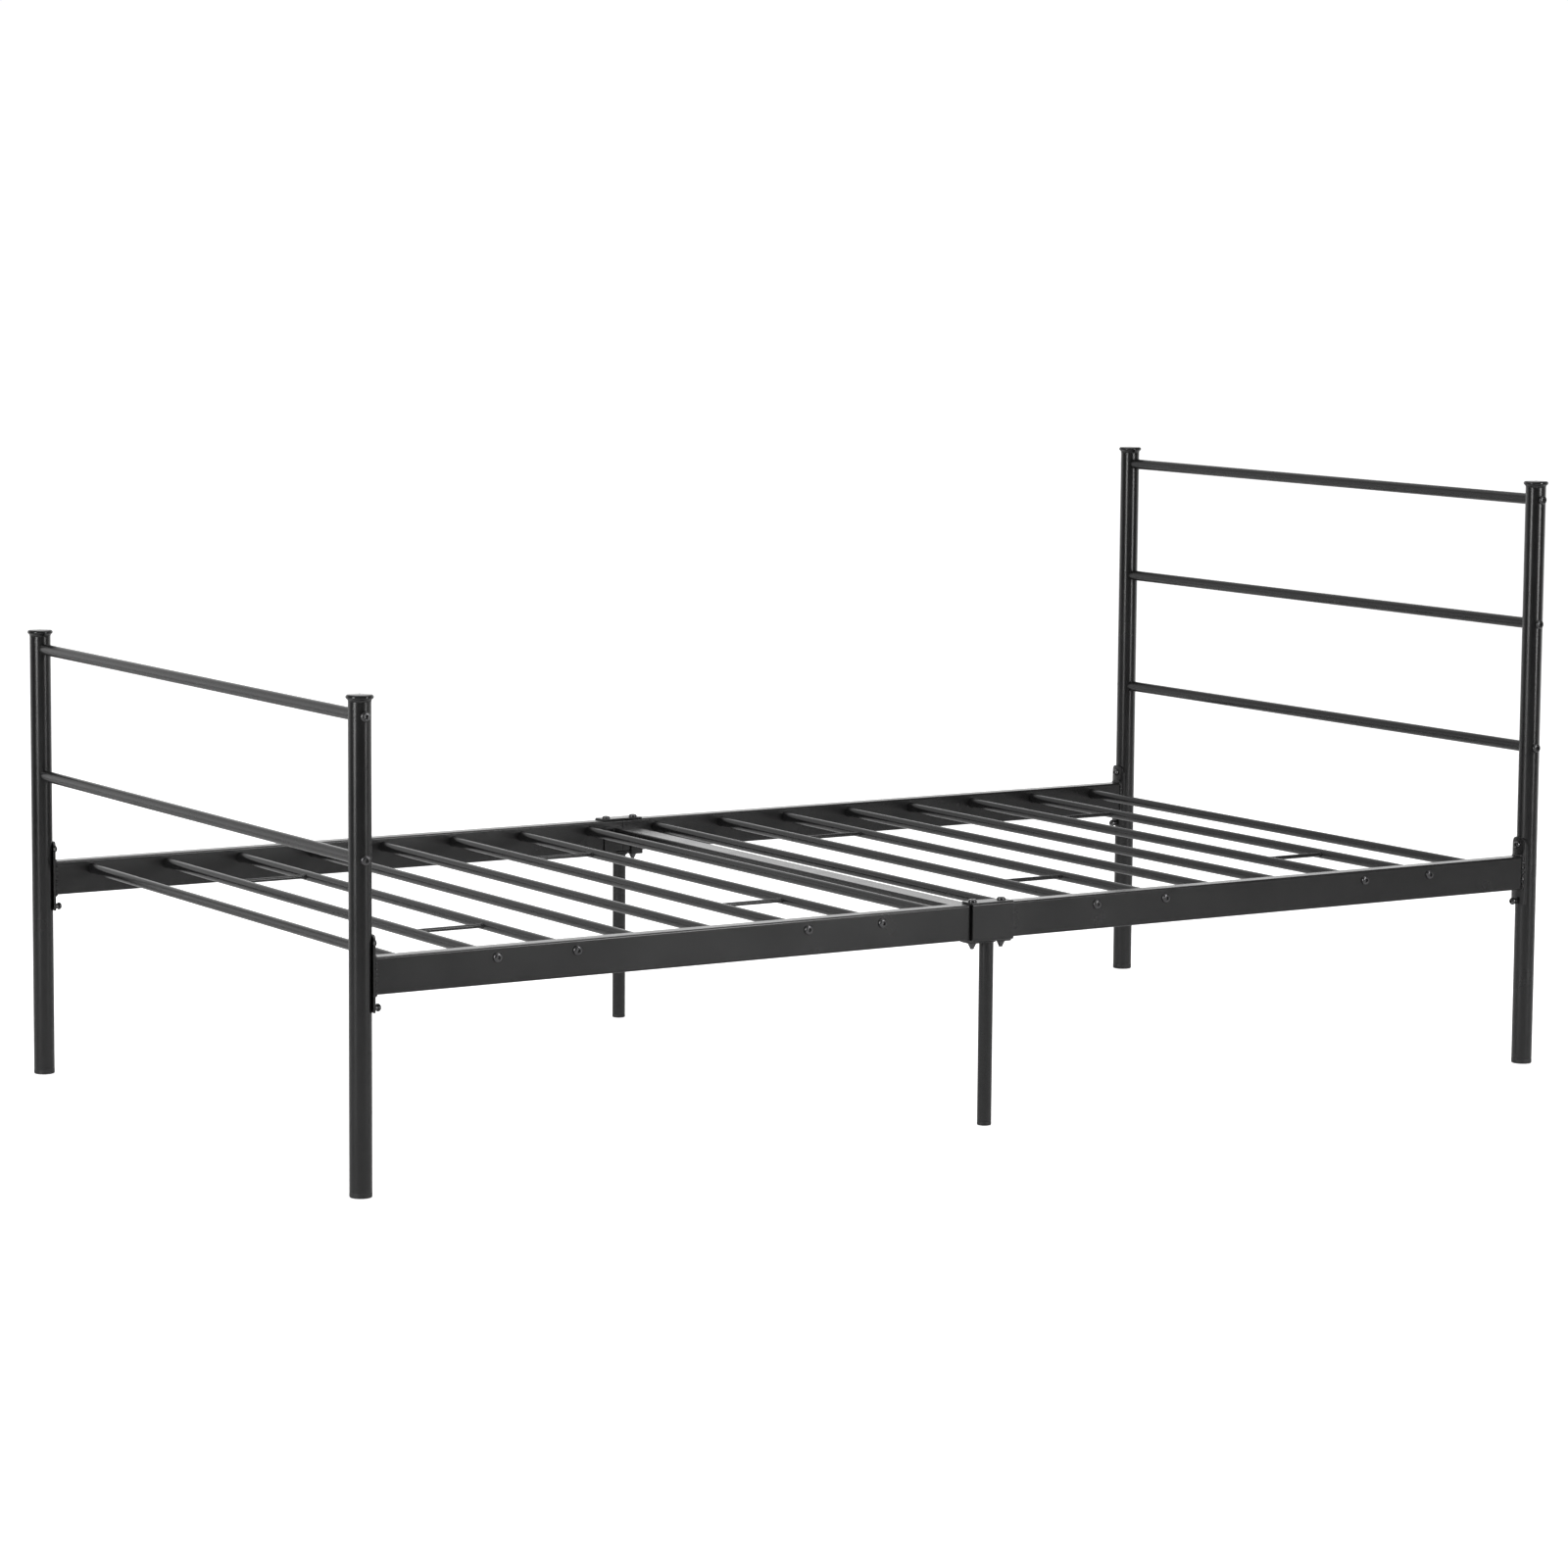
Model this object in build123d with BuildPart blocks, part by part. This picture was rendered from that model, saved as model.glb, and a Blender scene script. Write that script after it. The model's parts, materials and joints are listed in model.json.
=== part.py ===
from build123d import *
import os

os.makedirs("parts", exist_ok=True)

# Knock-down metal bed frame, single size.
# +X runs along the bed to the headboard, +Y to its left side, +Z up.
# The origin is on the floor, under the middle of the bed. Sizes are in millimetres.

# Overall layout
post_spacing_length = 1940.0  # foot post axis to head post axis
post_spacing_width = 1000.0  # right post axis to left post axis
head_height = 866.0  # floor to the top of a headboard cap
foot_height = 649.0  # floor to the top of a footboard cap
rail_top = 311.0  # floor to the top face of the side rails

# Corner posts, round tube
post_diameter = 30.0
post_wall = 1.5

# Plastic cap on each post
cap_overhang = 3.3  # rim past the post's surface
cap_rim_bulge = 1.9  # roundness of the rim, part of that overhang
cap_taper_height = 3.2
cap_rim_height = 5.8
cap_crown = 0.9  # rise of the domed top over its rim
cap_spigot_length = 11.0

# Plastic plugs under the posts and the centre legs
post_plug_height = 7.0
leg_plug_height = 5.0
plug_spigot_length = 18.0
plug_edge_radius = 1.2
spigot_fit = 0.1  # radial gap between a spigot and its tube

# Crossbars of the headboard and footboard, round tube
bar_diameter = 16.0
bar_wall = 1.2
top_bar_drop = 28.0  # top bar's axis under the top of its caps
low_bar_rise = {"foot": 126.5, "head": 161.0}  # lowest bar's axis over the rail's top face
bar_names = {"foot": ["top", "low"], "head": ["top", "middle", "low"]}

# Side rails, rectangular tube, two halves on each side
rail_height = 49.0
rail_depth = 22.0
rail_wall = 1.5
rail_corner = 2.5
rail_joint_gap = 0.8  # between the two halves at the middle of the bed

# Slats, round tube, let into the inner walls of the rails
slat_count = 16
slat_diameter = 14.0
slat_wall = 1.0
slat_drop = 14.0  # slat axis under the rail's top face
end_slat_inset = 74.5  # end slat's axis from the post axis
slat_hole_gap = 0.5  # radial gap round a slat in the rail's inner wall
slat_end_gap = 0.3  # slat end to the rail's outer wall

# Tie rods welded between the two slats of each bolted pair
tie_rod_diameter = 6.0
tie_rod_inset = 235.0  # rod axis from the post axes' plane
tie_rod_weld = 1.0

# Pressed saddle plates, welded to the rail ends and bolted to the posts
saddle_above_rail = 28.5
saddle_below_rail = 23.0
saddle_flare = 14.5  # plate's inner radius over the post's
saddle_thickness = 3.0
saddle_width = 30.0
saddle_top_radius = 12.0
saddle_foot_radius = 4.0
upper_bolt_inset = 11.5  # upper bolt's axis under the plate's top
lower_bolt_inset = 5.0  # hooked bolt's axis over the plate's lower edge
hooked_bolt_standoff = 6.2  # hooked bolt's head off the plate
hooked_bolt_collar_diameter = 7.6  # collar between that head and the plate
saddle_weld = 2.5  # bead round the rail's end
saddle_weld_slope = 0.75  # share of the bead that slopes towards the rail

# Round-head bolts with a hexagon socket, through the posts and rails
bolt_diameter = 8.0
bolt_head_diameter = 13.4
bolt_head_height = 3.6
bolt_socket_width = 5.0
bolt_flat_share = 0.6  # flat top's radius, as a share of the head's
bolt_rim_share = 0.2  # upright rim's height, as a share of the head's
bolt_socket_share = 0.65  # socket's depth, as a share of the head's height
bolt_tip_share = 0.2  # chamfer at the tip, as a share of the shank's radius
insert_length = 24.0
insert_setback = 1.0  # insert behind the end of its tube
bolt_engagement = 19.0  # length of bolt in an insert
hole_gap = 0.4  # radial gap round a bolt in a plain hole
thread_fit = 0.05  # radial gap round a bolt in a threaded piece

# Smaller round-head bolts of the saddle plates, with nuts welded inside the posts
joint_bolt_diameter = 6.0
joint_head_diameter = 10.6
joint_head_height = 4.2
joint_socket_width = 4.0
weld_nut_diameter = 11.0
weld_nut_height = 7.0

# Bracket wrapped round the two rail ends at the middle of each side
bracket_length = 68.0
bracket_wall = 2.5
bracket_gap = 3.0  # bracket's outer wall off the rail's outer face
bracket_fit = 0.2  # bracket's flanges off the rail's top and bottom faces
bracket_corner = 3.5

# Vertical bolts and cone nuts of the centre brackets
centre_bolt_spacing = 48.0
centre_bolt_diameter = 6.0
centre_head_diameter = 12.4
centre_head_height = 3.5
centre_socket_width = 4.0
cone_nut_diameter = 12.0
cone_nut_neck_diameter = 10.6
cone_nut_tip_diameter = 7.6
cone_nut_height = 6.0
cone_nut_flange_height = 1.5
cone_nut_neck_height = 2.4  # top of the flange to the start of the cone
bolt_tip_length = 3.0

# Centre beam, its hangers and the two centre legs
beam_width = 34.0
beam_height = 18.0
beam_wall = 1.5
beam_corner = 2.0
beam_drop = 11.0  # beam's top face under the rail's top face
hanger_wall = 2.5
hanger_fit = 0.2  # hanger off the rail's inner face
hanger_corner = 5.0
hanger_foot_depth = 22.0
hanger_notch_share = 0.6  # notch for the leg, as a share of the height under the beam
leg_diameter = 20.0
leg_wall = 1.2
leg_weld = 2.5
leg_clearance = 1.5  # hanger off the leg's weld

# Places that follow from those sizes
ends = {"foot": -1, "head": 1}
sides = {"right": -1, "left": 1}
heights = {"foot": foot_height, "head": head_height}
corners = [(end_sign, side_sign) for end_sign in ends.values() for side_sign in sides.values()]

post_radius = post_diameter / 2
post_bore = post_radius - post_wall
post_x = post_spacing_length / 2
side_y = post_spacing_width / 2
cap_height = cap_taper_height + cap_rim_height + cap_crown

bar_radius = bar_diameter / 2
bar_bore = bar_radius - bar_wall

rail_bottom = rail_top - rail_height
rail_middle = rail_top - rail_height / 2
rail_half_depth = rail_depth / 2

slat_radius = slat_diameter / 2
slat_bore = slat_radius - slat_wall
slat_z = rail_top - slat_drop
slat_pitch = (post_spacing_length - 2 * end_slat_inset) / (slat_count - 1)
slat_end = side_y + rail_half_depth - rail_wall - slat_end_gap
slat_numbers = range(1, slat_count + 1)

saddle_top = rail_top + saddle_above_rail
saddle_bottom = rail_bottom - saddle_below_rail
saddle_inner_radius = post_radius + saddle_flare
saddle_outer_radius = saddle_inner_radius + saddle_thickness
saddle_centre_x = post_x + saddle_flare  # the plate's centre of curvature, behind the post's axis
saddle_face_x = post_x - post_radius - saddle_thickness
upper_bolt_z = saddle_top - upper_bolt_inset
lower_bolt_z = saddle_bottom + lower_bolt_inset

bolt_radius = bolt_diameter / 2
joint_bolt_radius = joint_bolt_diameter / 2
centre_bolt_radius = centre_bolt_diameter / 2
centre_bolt_x = centre_bolt_spacing / 2

bracket_top = rail_top + bracket_fit + bracket_wall
bracket_bottom = rail_bottom - bracket_fit - bracket_wall
bracket_depth = rail_depth + bracket_gap + bracket_wall
beam_end = side_y - rail_half_depth - hanger_fit - hanger_wall
beam_top = rail_top - beam_drop
beam_bottom = beam_top - beam_height
beam_middle = beam_top - beam_height / 2
hanger_bottom = bracket_bottom - hanger_wall
leg_radius = leg_diameter / 2
leg_bore = leg_radius - leg_wall

# In every four slats the second and third are a bolted, tied pair. The others are held captive.
bolted_slats = [number for number in slat_numbers if number % 4 in (2, 3)]
tied_pairs = [(number, number + 1) for number in bolted_slats if number + 1 in bolted_slats]


def slat_x(number):
    return (number - (slat_count + 1) / 2) * slat_pitch


def bar_heights(end):
    gaps = len(bar_names[end]) - 1
    top = heights[end] - top_bar_drop
    low = rail_top + low_bar_rise[end]
    return [top - (top - low) * step / gaps for step in range(gaps + 1)]


def facing(x, y, z, direction):
    """Plane at a point, looking along a direction."""
    return Plane(origin=(x, y, z), z_dir=direction)


def socket_bolt(radius, shank, head_radius, head_height, socket_width):
    """Round-head bolt: its head stands on the XY plane and its shank hangs below."""
    flat_radius = head_radius * bolt_flat_share
    rim_height = head_height * bolt_rim_share
    with BuildPart() as bolt:
        with BuildSketch(Plane.XZ):
            with BuildLine():
                Line((0, 0), (head_radius, 0))
                Line((head_radius, 0), (head_radius, rim_height))
                TangentArc((head_radius, rim_height), (flat_radius, head_height), tangent=(0, 1))
                Line((flat_radius, head_height), (0, head_height))
                Line((0, head_height), (0, 0))
            make_face()
        revolve(axis=Axis.Z)
        with BuildSketch(Plane.XY.offset(-shank)):
            Circle(radius)
        extrude(amount=shank)
        chamfer(bolt.faces().sort_by(Axis.Z)[0].edges(), radius * bolt_tip_share)
        with BuildSketch(Plane.XY.offset(head_height)):
            RegularPolygon(radius=socket_width / 2, side_count=6, major_radius=False)
        extrude(amount=-head_height * bolt_socket_share, mode=Mode.SUBTRACT)
    return bolt.part


def foot_plug(outer_radius, bore, height):
    """Plug standing on the XY plane: a foot as wide as its tube, with a spigot above."""
    with BuildPart() as plug:
        with BuildSketch():
            Circle(outer_radius)
        extrude(amount=height)
        fillet(plug.faces().sort_by(Axis.Z)[0].edges(), plug_edge_radius)
        with BuildSketch(Plane.XY.offset(height)):
            Circle(bore - spigot_fit)
        extrude(amount=plug_spigot_length)
        chamfer(plug.faces().sort_by(Axis.Z)[-1].edges(), plug_edge_radius)
    return plug.part


def threaded_insert(bore):
    """Round insert hanging below the XY plane, with a bolt's bore through it."""
    with BuildPart() as insert:
        with BuildSketch(Plane.XY.offset(-insert_length)):
            Circle(bore - spigot_fit)
            Circle(bolt_radius + thread_fit, mode=Mode.SUBTRACT)
        extrude(amount=insert_length)
    return insert.part


# Corner posts
for end, end_sign in ends.items():
    for side, side_sign in sides.items():
        x = end_sign * post_x
        y = side_sign * side_y
        bed_face = x - end_sign * post_radius
        with BuildPart() as post:
            with BuildSketch(Plane.XY.offset(post_plug_height)):
                with Locations((x, y)):
                    Circle(post_radius)
                    Circle(post_bore, mode=Mode.SUBTRACT)
            extrude(amount=heights[end] - cap_height - post_plug_height)
            for z in bar_heights(end):
                with Locations(facing(x, y + post_radius, z, (0, 1, 0))):
                    Hole(bolt_radius + hole_gap, depth=post_diameter)
            for z in (upper_bolt_z, lower_bolt_z):
                with Locations(facing(bed_face, y, z, (-end_sign, 0, 0))):
                    Hole(joint_bolt_radius + hole_gap, depth=post_radius)
        post.part.label = f"post_{end}_{side}"
        export_step(post.part, f"parts/post_{end}_{side}.step")

# Caps on the posts: a spigot, a flared underside, a round rim and a slightly domed top
cap_spigot_radius = post_bore - spigot_fit
cap_rim_radius = post_radius + cap_overhang
cap_rim_top = cap_taper_height + cap_rim_height
cap_under_radius = cap_rim_radius - cap_rim_bulge
with BuildPart() as post_cap:
    with BuildSketch(Plane.XZ):
        with BuildLine():
            Line((0, -cap_spigot_length), (cap_spigot_radius, -cap_spigot_length))
            Line((cap_spigot_radius, -cap_spigot_length), (cap_spigot_radius, 0))
            Line((cap_spigot_radius, 0), (post_radius, 0))
            TangentArc((post_radius, 0), (cap_under_radius, cap_taper_height), tangent=(0, 1))
            ThreePointArc(
                (cap_under_radius, cap_taper_height),
                (cap_rim_radius, cap_taper_height + cap_rim_height / 2),
                (cap_under_radius, cap_rim_top),
            )
            TangentArc((0, cap_rim_top + cap_crown), (cap_under_radius, cap_rim_top), tangent=(1, 0))
            Line((0, cap_rim_top + cap_crown), (0, -cap_spigot_length))
        make_face()
    revolve(axis=Axis.Z)

for end, end_sign in ends.items():
    for side, side_sign in sides.items():
        with BuildPart() as cap:
            with Locations((end_sign * post_x, side_sign * side_y, heights[end] - cap_height)):
                add(post_cap.part)
        cap.part.label = f"post_cap_{end}_{side}"
        export_step(cap.part, f"parts/post_cap_{end}_{side}.step")

# Foot plugs under the posts
post_plug = foot_plug(post_radius, post_bore, post_plug_height)
with BuildPart() as post_foot_plugs:
    with GridLocations(post_spacing_length, post_spacing_width, 2, 2):
        add(post_plug)
post_foot_plugs.part.label = "post_foot_plugs"
export_step(post_foot_plugs.part, "parts/post_foot_plugs.step")

# Crossbars, with their ends cut to the round of the posts
for end, end_sign in ends.items():
    for name, z in zip(bar_names[end], bar_heights(end)):
        x = end_sign * post_x
        with BuildPart() as bar:
            with BuildSketch(facing(x, 0, z, (0, 1, 0))):
                Circle(bar_radius)
                Circle(bar_bore, mode=Mode.SUBTRACT)
            extrude(amount=side_y, both=True)
            with Locations((x, side_y, z), (x, -side_y, z)):
                Cylinder(post_radius, bar_diameter * 2, mode=Mode.SUBTRACT)
        bar.part.label = f"{end}board_bar_{name}"
        export_step(bar.part, f"parts/{end}board_bar_{name}.step")

# Threaded inserts in the crossbar ends, and the bolts that reach them through the posts
bar_insert = threaded_insert(bar_bore)
bar_insert_y = side_y - post_radius - insert_setback
bar_bolt = socket_bolt(
    bolt_radius,
    post_diameter + insert_setback + bolt_engagement,
    bolt_head_diameter / 2,
    bolt_head_height,
    bolt_socket_width,
)
bar_ends = [
    (end_sign * post_x, side_sign, z)
    for end, end_sign in ends.items()
    for side_sign in sides.values()
    for z in bar_heights(end)
]
with BuildPart() as crossbar_inserts:
    with Locations(*[facing(x, sign * bar_insert_y, z, (0, sign, 0)) for x, sign, z in bar_ends]):
        add(bar_insert)
crossbar_inserts.part.label = "crossbar_inserts"
export_step(crossbar_inserts.part, "parts/crossbar_inserts.step")

bar_bolt_y = side_y + post_radius
with BuildPart() as crossbar_bolts:
    with Locations(*[facing(x, sign * bar_bolt_y, z, (0, sign, 0)) for x, sign, z in bar_ends]):
        add(bar_bolt)
crossbar_bolts.part.label = "crossbar_bolts"
export_step(crossbar_bolts.part, "parts/crossbar_bolts.step")

# Saddle plates: part of a round shell, arched at the top and forked at the bottom
slot_width = joint_bolt_diameter + 2 * hole_gap
for end, end_sign in ends.items():
    for side, side_sign in sides.items():
        x = end_sign * saddle_centre_x
        y = side_sign * side_y
        toward_bed = Plane(
            origin=(x, y, saddle_bottom), x_dir=(0, -end_sign, 0), z_dir=(-end_sign, 0, 0)
        )
        with BuildPart() as saddle:
            with BuildSketch(Plane.XY.offset(saddle_bottom)):
                with Locations((x, y)):
                    Circle(saddle_outer_radius)
                    Circle(saddle_inner_radius, mode=Mode.SUBTRACT)
            extrude(amount=saddle_top - saddle_bottom)
            with BuildSketch(toward_bed) as outline:
                Rectangle(saddle_width, saddle_top - saddle_bottom, align=(Align.CENTER, Align.MIN))
                fillet(outline.vertices().sort_by(Axis.Y)[-2:], saddle_top_radius)
                fillet(outline.vertices().sort_by(Axis.Y)[:2], saddle_foot_radius)
                with Locations((0, saddle_top - saddle_bottom - upper_bolt_inset)):
                    Circle(slot_width / 2, mode=Mode.SUBTRACT)
                with Locations((0, lower_bolt_inset)):
                    Circle(slot_width / 2, mode=Mode.SUBTRACT)
                Rectangle(
                    slot_width, lower_bolt_inset, align=(Align.CENTER, Align.MIN), mode=Mode.SUBTRACT
                )
            extrude(amount=saddle_outer_radius, mode=Mode.INTERSECT)
        saddle.part.label = f"rail_saddle_{end}_{side}"
        export_step(saddle.part, f"parts/rail_saddle_{end}_{side}.step")


# Weld beads round the rail ends, against the saddle plates
def rail_end_weld(end_sign, side_sign):
    y = side_sign * side_y
    bead_x = end_sign * (saddle_face_x - saddle_weld)
    bead_start = Plane(origin=(bead_x, y, rail_middle), x_dir=(0, 1, 0), z_dir=(end_sign, 0, 0))
    bead_reach = saddle_weld + saddle_thickness + post_radius
    with BuildPart() as weld:
        with BuildSketch(bead_start):
            RectangleRounded(
                rail_depth + 2 * saddle_weld, rail_height + 2 * saddle_weld, rail_corner + saddle_weld
            )
        extrude(amount=bead_reach)
        rail_side = weld.faces().sort_by(Axis.X)[0 if end_sign > 0 else -1]
        chamfer(rail_side.edges(), saddle_weld * saddle_weld_slope)
        with BuildSketch(bead_start):
            RectangleRounded(rail_depth, rail_height, rail_corner)
        extrude(amount=bead_reach, mode=Mode.SUBTRACT)
        with Locations((end_sign * saddle_centre_x, y, rail_middle)):
            Cylinder(saddle_outer_radius, rail_height * 2, mode=Mode.SUBTRACT)
    return weld.part


with BuildPart() as rail_end_welds:
    add([rail_end_weld(end_sign, side_sign) for end_sign, side_sign in corners])
rail_end_welds.part.label = "rail_end_welds"
export_step(rail_end_welds.part, "parts/rail_end_welds.step")

# Saddle bolts: the upper ones clamp the plate, the lower ones stand off it for the fork to hook on
saddle_bolt_shank = saddle_thickness + post_wall + weld_nut_height
upper_saddle_bolt = socket_bolt(
    joint_bolt_radius, saddle_bolt_shank, joint_head_diameter / 2, joint_head_height, joint_socket_width
)
hooked_bolt = socket_bolt(
    joint_bolt_radius,
    saddle_bolt_shank + hooked_bolt_standoff,
    joint_head_diameter / 2,
    joint_head_height,
    joint_socket_width,
)
hooked_face_x = saddle_face_x - hooked_bolt_standoff
with BuildPart() as saddle_bolts_upper:
    with Locations(*[facing(e * saddle_face_x, s * side_y, upper_bolt_z, (-e, 0, 0)) for e, s in corners]):
        add(upper_saddle_bolt)
saddle_bolts_upper.part.label = "saddle_bolts_upper"
export_step(saddle_bolts_upper.part, "parts/saddle_bolts_upper.step")

with BuildPart() as saddle_bolts_hooked:
    with Locations(*[facing(e * hooked_face_x, s * side_y, lower_bolt_z, (-e, 0, 0)) for e, s in corners]):
        add(hooked_bolt)
        Cylinder(
            hooked_bolt_collar_diameter / 2,
            hooked_bolt_standoff,
            align=(Align.CENTER, Align.CENTER, Align.MAX),
        )
saddle_bolts_hooked.part.label = "saddle_bolts_hooked"
export_step(saddle_bolts_hooked.part, "parts/saddle_bolts_hooked.step")


# Nuts welded inside the posts, rounded to the tube's bore
def post_weld_nut(end_sign, side_sign, z):
    x = end_sign * post_x
    y = side_sign * side_y
    with BuildPart() as nut:
        with BuildSketch(facing(x - end_sign * (post_bore - weld_nut_height), y, z, (-end_sign, 0, 0))):
            Circle(weld_nut_diameter / 2)
            Circle(joint_bolt_radius + thread_fit, mode=Mode.SUBTRACT)
        extrude(amount=weld_nut_height)
        with Locations((x, y, z)):
            Cylinder(post_bore - spigot_fit, weld_nut_diameter * 2, mode=Mode.INTERSECT)
    return nut.part


with BuildPart() as post_weld_nuts:
    add([post_weld_nut(e, s, z) for e, s in corners for z in (upper_bolt_z, lower_bolt_z)])
post_weld_nuts.part.label = "post_weld_nuts"
export_step(post_weld_nuts.part, "parts/post_weld_nuts.step")

# Side rails, one half towards each end of the bed
for end, end_sign in ends.items():
    for side, side_sign in sides.items():
        y = side_sign * side_y
        inner_face = y - side_sign * rail_half_depth
        outer_face = y + side_sign * rail_half_depth
        joint_x = end_sign * rail_joint_gap / 2
        near_end = Plane(origin=(joint_x, y, rail_middle), x_dir=(0, 1, 0), z_dir=(end_sign, 0, 0))
        own_slats = [number for number in slat_numbers if slat_x(number) * end_sign > 0]
        with BuildPart() as rail:
            with BuildSketch(near_end):
                RectangleRounded(rail_depth, rail_height, rail_corner)
                RectangleRounded(
                    rail_depth - 2 * rail_wall,
                    rail_height - 2 * rail_wall,
                    rail_corner - rail_wall,
                    mode=Mode.SUBTRACT,
                )
            extrude(amount=post_x - rail_joint_gap / 2)
            with Locations((end_sign * saddle_centre_x, y, rail_middle)):
                Cylinder(saddle_outer_radius, rail_height * 2, mode=Mode.SUBTRACT)
            for number in own_slats:
                with Locations(facing(slat_x(number), inner_face, slat_z, (0, -side_sign, 0))):
                    Hole(slat_radius + slat_hole_gap, depth=rail_half_depth)
                if number in bolted_slats:
                    with Locations(facing(slat_x(number), outer_face, slat_z, (0, side_sign, 0))):
                        Hole(bolt_radius + hole_gap, depth=rail_half_depth)
            with Locations(facing(end_sign * centre_bolt_x, y, rail_top, (0, 0, 1))):
                Hole(centre_bolt_radius + hole_gap, depth=rail_height)
        rail.part.label = f"side_rail_{side}_{end}"
        export_step(rail.part, f"parts/side_rail_{side}_{end}.step")

# Slats
for number in slat_numbers:
    with BuildPart() as slat:
        with BuildSketch(facing(slat_x(number), 0, slat_z, (0, 1, 0))):
            Circle(slat_radius)
            Circle(slat_bore, mode=Mode.SUBTRACT)
        extrude(amount=slat_end, both=True)
    slat.part.label = f"slat_{number:02d}"
    export_step(slat.part, f"parts/slat_{number:02d}.step")

# Tie rods, with a weld collar at each end, cut to the round of their slats
tie_rod_y = side_y - tie_rod_inset
for first, second in tied_pairs:
    with BuildPart() as tie_rods:
        for x, direction, length, radius in (
            (slat_x(first), 1, slat_pitch, tie_rod_diameter / 2),
            (slat_x(first), 1, slat_radius + tie_rod_weld, tie_rod_diameter / 2 + tie_rod_weld),
            (slat_x(second), -1, slat_radius + tie_rod_weld, tie_rod_diameter / 2 + tie_rod_weld),
        ):
            with BuildSketch(Plane(origin=(x, 0, slat_z), x_dir=(0, 1, 0), z_dir=(direction, 0, 0))):
                with Locations((tie_rod_y, 0), (-tie_rod_y, 0)):
                    Circle(radius)
            extrude(amount=length)
        with Locations((slat_x(first), 0, slat_z), (slat_x(second), 0, slat_z)):
            Cylinder(slat_radius, 2 * slat_end, rotation=(90, 0, 0), mode=Mode.SUBTRACT)
    tie_rods.part.label = f"tie_rods_{first:02d}_{second:02d}"
    export_step(tie_rods.part, f"parts/tie_rods_{first:02d}_{second:02d}.step")

# Threaded inserts in the bolted slats, and their bolts through the rails' outer walls
slat_insert = threaded_insert(slat_bore)
slat_insert_y = slat_end - insert_setback
slat_bolt_y = side_y + rail_half_depth
slat_bolt = socket_bolt(
    bolt_radius,
    slat_bolt_y - slat_insert_y + bolt_engagement,
    bolt_head_diameter / 2,
    bolt_head_height,
    bolt_socket_width,
)
bolted_ends = [(slat_x(number), side_sign) for number in bolted_slats for side_sign in sides.values()]
with BuildPart() as slat_inserts:
    with Locations(*[facing(x, sign * slat_insert_y, slat_z, (0, sign, 0)) for x, sign in bolted_ends]):
        add(slat_insert)
slat_inserts.part.label = "slat_inserts"
export_step(slat_inserts.part, "parts/slat_inserts.step")

with BuildPart() as slat_bolts:
    with Locations(*[facing(x, sign * slat_bolt_y, slat_z, (0, sign, 0)) for x, sign in bolted_ends]):
        add(slat_bolt)
slat_bolts.part.label = "slat_bolts"
export_step(slat_bolts.part, "parts/slat_bolts.step")

# Centre brackets: a channel open towards the bed, round both rail ends
for side, side_sign in sides.items():
    y = side_sign * side_y
    across = Plane(origin=(0, y, rail_middle), x_dir=(0, side_sign, 0), z_dir=(side_sign, 0, 0))
    with BuildPart() as bracket:
        with BuildSketch(across) as profile:
            with Locations((-rail_half_depth, 0)):
                Rectangle(bracket_depth, bracket_top - bracket_bottom, align=(Align.MIN, Align.CENTER))
            fillet(profile.vertices().sort_by(Axis.X)[-2:], bracket_corner)
            with Locations((-rail_half_depth, 0)):
                Rectangle(
                    bracket_depth - bracket_wall,
                    rail_height + 2 * bracket_fit,
                    align=(Align.MIN, Align.CENTER),
                    mode=Mode.SUBTRACT,
                )
        extrude(amount=bracket_length / 2, both=True)
        with Locations((centre_bolt_x, y, bracket_top), (-centre_bolt_x, y, bracket_top)):
            Hole(centre_bolt_radius + hole_gap, depth=bracket_top - bracket_bottom)
    bracket.part.label = f"centre_bracket_{side}"
    export_step(bracket.part, f"parts/centre_bracket_{side}.step")

# Centre beam, a rectangular tube
with BuildPart() as centre_beam:
    with BuildSketch(Plane(origin=(0, 0, beam_middle), x_dir=(1, 0, 0), z_dir=(0, -1, 0))):
        RectangleRounded(beam_width, beam_height, beam_corner)
        RectangleRounded(
            beam_width - 2 * beam_wall,
            beam_height - 2 * beam_wall,
            beam_corner - beam_wall,
            mode=Mode.SUBTRACT,
        )
    extrude(amount=beam_end, both=True)
centre_beam.part.label = "centre_beam"
export_step(centre_beam.part, "parts/centre_beam.step")

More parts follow.
